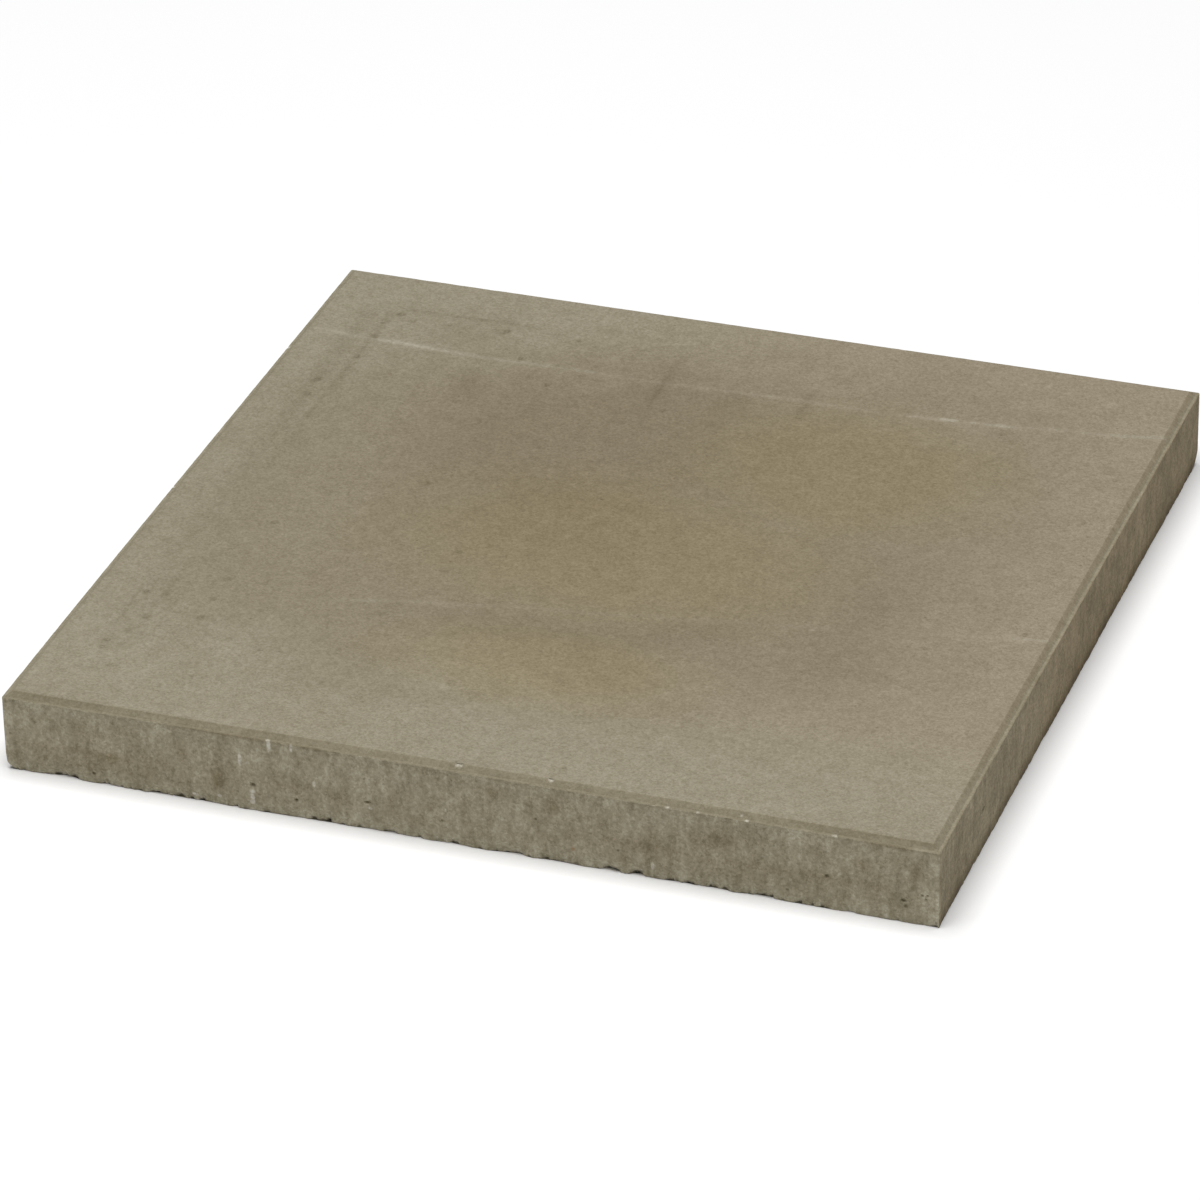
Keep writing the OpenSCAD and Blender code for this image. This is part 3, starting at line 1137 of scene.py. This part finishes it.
def pinholesGroup():
    # scattered round dots: air holes that broke the skin
    cfg = pinholeForm
    tree, given, result = startGroup(
        "pinholes",
        [("Place", vectorSocket, None), ("Spacing", floatSocket, 6.0), ("Share", floatSocket, 0.5),
         ("Radius", floatSocket, 0.5)],
        [("Mask", floatSocket)],
    )
    distance, chance, spread = cellsAt(tree, given["Place"], given["Spacing"])
    away = calc(tree, "MULTIPLY", distance, given["Spacing"])
    reach = calc(tree, "MULTIPLY", given["Radius"], calc(tree, "ADD", spread, cfg["smallest"]))
    dot = remap(tree, away, calc(tree, "MULTIPLY", reach, cfg["softFrom"]), reach, 1.0, 0.0)
    chosen = calc(tree, "LESS_THAN", chance, given["Share"])
    feed(tree, result["Mask"], calc(tree, "MULTIPLY", dot, chosen))
    return tree


def warmToneGroup():
    # a tone as a colour: what is darker is a little browner, what is paler a little greyer
    tree, given, result = startGroup("warmTone", [("Tone", floatSocket, 1.0)], [("Colour", colourSocket)])
    parts = tree.nodes.new("ShaderNodeCombineColor")
    for socket, power in zip(parts.inputs, warmPowers):
        feed(tree, socket, calc(tree, "POWER", given["Tone"], power))
    feed(tree, result["Colour"], parts.outputs["Color"])
    return tree


sandGrain, mottle, pinholes, warmTone = sandGrainGroup(), mottleGroup(), pinholesGroup(), warmToneGroup()


def attribute(tree, name):
    node = tree.nodes.new("ShaderNodeAttribute")
    node.attribute_name = name
    return node.outputs["Fac"]


def startMaterial(name):
    material = bpy.data.materials.new(name)
    material.use_nodes = True
    tree = material.node_tree
    coords = tree.nodes.new("ShaderNodeTexCoord")
    place = stretch(tree, coords.outputs["Object"], (1 / mm, 1 / mm, 1 / mm))
    return material, tree, tree.nodes["Principled BSDF"], place


def tinted(tree, colour, *tones):
    # multiplies a colour by the tones given
    whole = tones[0]
    for tone in tones[1:]:
        whole = calc(tree, "MULTIPLY", whole, tone)
    return blendColour(tree, 1.0, colour, useGroup(tree, warmTone, Tone=whole)["Colour"], "MULTIPLY")


def grainOf(tree, place, cfg):
    return useGroup(tree, sandGrain, Place=place, Size=cfg["grainSize"], Contrast=cfg["grainContrast"])


def cloudOf(tree, place, size, contrast):
    return useGroup(tree, mottle, Place=place, Size=size, Contrast=contrast)["Tone"]


def poresOf(tree, place, cfg):
    # air holes: where they are, and the tone that they give
    spacing, share, spread = cfg["pores"]
    mask = useGroup(tree, pinholes, Place=place, Spacing=spacing, Share=share, Radius=spread)["Mask"]
    return mask, remap(tree, mask, 0.0, 1.0, 1.0, cfg["poreTone"], smooth=False)


markLook = {
    "shade": 0.22,
    "sootTone": 0.38,
    "rust": (0.30, 0.17, 0.07, 1.0),
    "rustShare": 0.6,
    "lime": (0.58, 0.545, 0.46, 1.0),
    "limeShare": 0.7,
    "crumbleSize": 1.4,
    "crumbleDetail": 2.0,
    "crumbleRough": 0.6,
    "crumbleFrom": (0.3, 0.7),
    "crumbleTo": (0.45, 1.25),
}


def addMarks(tree, colour, place):
    # soft shade first, then dark, rusty and pale marks with crumbly borders
    cfg = markLook
    shade = calc(tree, "MULTIPLY_ADD", attribute(tree, "shade"), -cfg["shade"], 1.0)
    crumbs = noiseAt(tree, place, cfg["crumbleSize"], cfg["crumbleDetail"], cfg["crumbleRough"])
    crumble = remap(tree, crumbs, *cfg["crumbleFrom"], *cfg["crumbleTo"])
    soot = calc(tree, "MULTIPLY", attribute(tree, "soot"), crumble)
    colour = tinted(tree, colour, shade, remap(tree, soot, 0.0, 1.0, 1.0, cfg["sootTone"], smooth=False))
    rust = calc(tree, "MULTIPLY", attribute(tree, "rust"), crumble)
    colour = blendColour(tree, calc(tree, "MINIMUM", rust, cfg["rustShare"]), colour, cfg["rust"])
    lime = calc(tree, "MULTIPLY", attribute(tree, "lime"), crumble)
    return blendColour(tree, calc(tree, "MULTIPLY", lime, cfg["limeShare"]), colour, cfg["lime"])


def setSurface(tree, shader, cfg, colour, roughBy, *heights):
    # links the colour, and makes the roughness and the bump; a height is a value with its share in mm
    tree.links.new(colour, shader.inputs["Base Color"])
    roughness = remap(tree, roughBy, *cfg["roughFrom"], *cfg["roughness"])
    tree.links.new(roughness, shader.inputs["Roughness"])
    height = 0.0
    for value, share in heights:
        height = calc(tree, "MULTIPLY_ADD", value, share, height)
    bump = tree.nodes.new("ShaderNodeBump")
    bump.inputs["Strength"].default_value = cfg["bump"]
    bump.inputs["Distance"].default_value = mm
    feed(tree, bump.inputs["Height"], height)
    tree.links.new(bump.outputs["Normal"], shader.inputs["Normal"])


topLook = {
    "pale": (0.264, 0.234, 0.163, 1.0),
    "warm": (0.262, 0.221, 0.151, 1.0),
    "brown": (0.200, 0.162, 0.102, 1.0),
    "ochreTint": (1.01, 0.99, 0.88, 1.0),
    "grainSize": 0.75,
    "grainContrast": 0.27,
    "grainRise": 0.3,
    "cloudSize": 8.0,
    "cloudContrast": 0.27,
    "pores": (7.0, 0.45, 0.55),  # spacing, share of the cells that have one, radius
    "poreTone": 0.72,
    "poreDip": 0.3,
    "roughFrom": (0.0, 0.8),  # by the grains' height
    "roughness": (0.82, 0.94),
    "bump": 0.35,
}


def faceColour(tree):
    colour = blendColour(tree, attribute(tree, "earth"), topLook["pale"], topLook["warm"])
    colour = blendColour(tree, attribute(tree, "stain"), colour, topLook["brown"])
    return blendColour(tree, attribute(tree, "ochre"), colour, topLook["ochreTint"], "MULTIPLY")


def topMaterial():
    cfg = topLook
    material, tree, shader, place = startMaterial("sandyFace")
    grain = grainOf(tree, place, cfg)
    cloud = cloudOf(tree, place, cfg["cloudSize"], cfg["cloudContrast"])
    pores, poreTone = poresOf(tree, place, cfg)
    colour = tinted(tree, faceColour(tree), grain["Tone"], cloud, poreTone)
    colour = addMarks(tree, colour, place)
    heights = (grain["Height"], cfg["grainRise"]), (pores, -cfg["poreDip"])
    setSurface(tree, shader, cfg, colour, grain["Height"], *heights)
    return material


sideLook = {
    "grey": (0.300, 0.265, 0.179, 1.0),
    # the browner tone; on the right side it is partly painted shade
    "earth": (0.2025, 0.148, 0.071, 1.0),
    "heights": (4.0, 34.0),  # mm
    "heightTones": (1.0, 1.03),
    "wornGain": 0.34,
    "grainSize": 0.9,
    "grainContrast": 0.34,
    "grainRise": 0.4,
    "streakStretch": (1.0, 1.0, 0.4),
    "streakSize": 4.5,
    "streakContrast": 0.86,
    "streakRise": 0.3,
    "blotchSize": 28.0,
    "blotchContrast": 0.2,
    "pores": (6.0, 0.13, 0.7),
    "poreTone": 0.68,
    "poreDip": 0.5,
    "roughFrom": (0.7, 1.3),  # by the streaks' tone
    "roughness": (0.87, 0.97),
    "bump": 0.6,
}


def sideMaterial():
    cfg = sideLook
    material, tree, shader, place = startMaterial("streakedSide")
    grain = grainOf(tree, place, cfg)
    tall = stretch(tree, place, cfg["streakStretch"])
    streak = cloudOf(tree, tall, cfg["streakSize"], cfg["streakContrast"])
    blotch = cloudOf(tree, place, cfg["blotchSize"], cfg["blotchContrast"])
    pores, poreTone = poresOf(tree, place, cfg)
    axes = tree.nodes.new("ShaderNodeSeparateXYZ")
    feed(tree, axes.inputs["Vector"], place)
    heightTone = remap(tree, axes.outputs["Z"], *cfg["heights"], *cfg["heightTones"])
    # paler where rubbed, and on the left shoulder also painted light
    worn = calc(tree, "MULTIPLY_ADD", attribute(tree, "worn"), cfg["wornGain"], 1.0)
    colour = blendColour(tree, attribute(tree, "earth"), cfg["grey"], cfg["earth"])
    colour = tinted(tree, colour, grain["Tone"], streak, blotch, poreTone, heightTone, worn)
    colour = addMarks(tree, colour, place)
    heights = (grain["Height"], cfg["grainRise"]), (streak, cfg["streakRise"]), (pores, -cfg["poreDip"])
    setSurface(tree, shader, cfg, colour, streak, *heights)
    return material


bandLook = {
    # the slope is painted darker than the face: partly its own tone, partly painted shade
    "slopeTone": 0.84,
    "slopeTint": (0.989, 0.984, 0.96, 1.0),
    "shoulderTone": 1.02,
    "grainSize": 0.75,
    "grainContrast": 0.24,
    "grainRise": 0.3,
    "cloudSize": 8.0,
    "cloudContrast": 0.35,
    "roughFrom": (0.8, 1.2),  # by the clouds' tone
    "roughness": (0.85, 0.95),
    "bump": 0.4,
}


def bandMaterial():
    cfg = bandLook
    material, tree, shader, place = startMaterial("chamferBand")
    grain = grainOf(tree, place, cfg)
    cloud = cloudOf(tree, place, cfg["cloudSize"], cfg["cloudContrast"])
    tones = cfg["slopeTone"], cfg["shoulderTone"]
    # the slope's tone, paler where rubbed and, on the left, with painted light
    worn = remap(tree, attribute(tree, "worn"), 0.0, 1.0, *tones, smooth=False)
    colour = blendColour(tree, 1.0, faceColour(tree), cfg["slopeTint"], "MULTIPLY")
    colour = tinted(tree, colour, grain["Tone"], cloud, worn)
    colour = addMarks(tree, colour, place)
    setSurface(tree, shader, cfg, colour, cloud, (grain["Height"], cfg["grainRise"]))
    return material


underLook = {
    "grey": (0.25, 0.225, 0.155, 1.0),
    "damp": (0.20, 0.172, 0.115, 1.0),
    "dampSize": 120.0,
    "dampDetail": 3.0,
    "dampRough": 0.6,
    "dampBorder": (0.45, 0.65),
    "grainSize": 1.4,
    "grainContrast": 0.3,
    "grainRise": 0.5,
    "blotchSize": 40.0,
    "blotchContrast": 0.35,
    "pores": (7.0, 0.5, 1.1),
    "poreTone": 0.5,
    "poreDip": 0.8,
    "roughFrom": (0.7, 1.3),  # by the blotches' tone
    "roughness": (0.88, 0.98),
    "bump": 0.7,
}


def underMaterial():
    cfg = underLook
    material, tree, shader, place = startMaterial("coarseUnderside")
    grain = grainOf(tree, place, cfg)
    blotch = cloudOf(tree, place, cfg["blotchSize"], cfg["blotchContrast"])
    pores, poreTone = poresOf(tree, place, cfg)
    cloud = noiseAt(tree, place, cfg["dampSize"], cfg["dampDetail"], cfg["dampRough"])
    damp = remap(tree, cloud, *cfg["dampBorder"])
    colour = blendColour(tree, damp, cfg["grey"], cfg["damp"])
    colour = tinted(tree, colour, grain["Tone"], blotch, poreTone)
    heights = (grain["Height"], cfg["grainRise"]), (pores, -cfg["poreDip"])
    setSurface(tree, shader, cfg, colour, blotch, *heights)
    return material


for makeMaterial in (topMaterial, bandMaterial, sideMaterial, underMaterial):  # in the order of the regions
    slabMesh.materials.append(makeMaterial())
print("materials set")

# floor, light and camera
stageLook = {
    "floorHalf": 8.0,
    "floorDrop": 0.0001,
    "floorColour": (0.9, 0.9, 0.9, 1.0),
    "skyColour": (1.0, 1.0, 1.0, 1.0),
    "skyStrength": 0.15,
    "keyFrom": (-0.01, -0.10, 0.99),
    "keyDistance": 4.4,
    "keySize": 3.05,
    "keyPower": 223.0,
}


def makeFloor():
    bm = bmesh.new()
    bmesh.ops.create_grid(bm, x_segments=1, y_segments=1, size=stageLook["floorHalf"])
    bmesh.ops.translate(bm, vec=(0.0, 0.0, slabLow.z - stageLook["floorDrop"]), verts=bm.verts)
    mesh = bpy.data.meshes.new("studioFloor")
    bm.to_mesh(mesh)
    bm.free()
    paint = bpy.data.materials.new("paleFloor")
    paint.use_nodes = True
    shader = paint.node_tree.nodes["Principled BSDF"]
    shader.inputs["Base Color"].default_value = stageLook["floorColour"]
    shader.inputs["Roughness"].default_value = 1.0
    shader.inputs["Specular IOR Level"].default_value = 0.0
    mesh.materials.append(paint)
    floor = bpy.data.objects.new("studioFloor", mesh)
    bpy.context.scene.collection.objects.link(floor)


def makeLights():
    world = bpy.data.worlds.new("studioSky")
    world.use_nodes = True
    sky = world.node_tree.nodes["Background"]
    sky.inputs["Color"].default_value = stageLook["skyColour"]
    sky.inputs["Strength"].default_value = stageLook["skyStrength"]
    bpy.context.scene.world = world
    lamp = bpy.data.lights.new("keySoftbox", "AREA")
    lamp.shape = "SQUARE"
    lamp.size = stageLook["keySize"]
    lamp.energy = stageLook["keyPower"]
    key = bpy.data.objects.new("keySoftbox", lamp)
    towards = Vector(stageLook["keyFrom"]).normalized()
    key.location = towards * stageLook["keyDistance"]
    key.rotation_euler = towards.to_track_quat("Z", "Y").to_euler()
    bpy.context.scene.collection.objects.link(key)


makeFloor()
makeLights()
bpy.context.scene.view_settings.view_transform = "Standard"

# the photograph's viewpoint
cameraView = {
    "azimuth": 19.668,  # degrees round to the right of the front
    "elevation": 29.922,
    "roll": -1.078,
    "distance": 2.8546,
    "aim": (-0.0126, 0.00507, 0.0),
    "lens": 200.0,
    "sensor": 36.0,
}


def makeCamera():
    azimuth, elevation, roll = (math.radians(cameraView[key]) for key in ("azimuth", "elevation", "roll"))
    away = Vector((
        math.sin(azimuth) * math.cos(elevation),
        -math.cos(azimuth) * math.cos(elevation),
        math.sin(elevation),
    ))
    across = Vector((math.cos(azimuth), math.sin(azimuth), 0.0))
    upward = away.cross(across)
    rolledAcross = across * math.cos(roll) + upward * math.sin(roll)
    rolledUpward = upward * math.cos(roll) - across * math.sin(roll)
    turn = Matrix((rolledAcross, rolledUpward, away)).transposed().to_4x4()
    lens = bpy.data.cameras.new("photoCamera")
    lens.lens = cameraView["lens"]
    lens.sensor_width = cameraView["sensor"]
    camera = bpy.data.objects.new("photoCamera", lens)
    camera.matrix_world = Matrix.Translation(Vector(cameraView["aim"]) + away * cameraView["distance"]) @ turn
    bpy.context.scene.collection.objects.link(camera)
    bpy.context.scene.camera = camera


makeCamera()
print("stage and camera ready")
